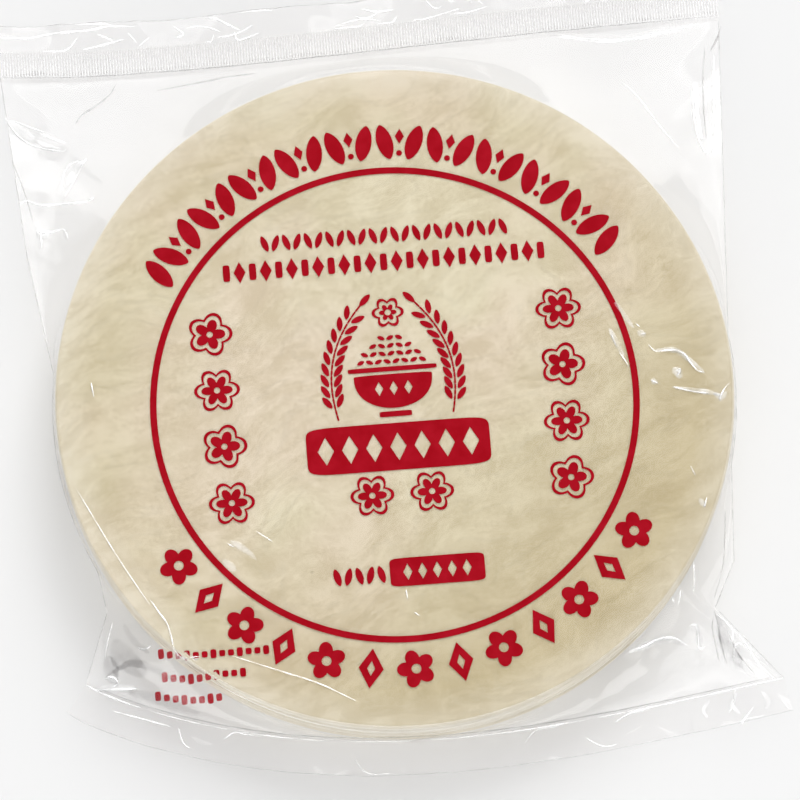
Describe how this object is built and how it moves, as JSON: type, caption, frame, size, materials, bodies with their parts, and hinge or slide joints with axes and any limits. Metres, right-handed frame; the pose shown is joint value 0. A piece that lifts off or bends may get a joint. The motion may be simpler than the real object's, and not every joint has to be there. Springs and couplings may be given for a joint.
{
  "type": "sealed pack of rice paper wrappers",
  "caption": "Round stack of dried rice paper sheets, tightly packed in a clear film bag with a crimped top seal and a welded bottom seam.",
  "frame": {"origin": "middle of the stack, on the plane that the pack lies on", "axes": "+Z up, out of the shown face; +Y towards the crimped end of the bag; +X to the right when looking down on the shown face with +Y up"},
  "size_m": [0.2135, 0.2254, 0.019],
  "materials": {
    "film_over_rice_paper": "clear glossy film over dull cream sheets"
  },
  "bodies": {
    "root": {"sealed_bag": "film_over_rice_paper"}
  },
  "joints": []
}
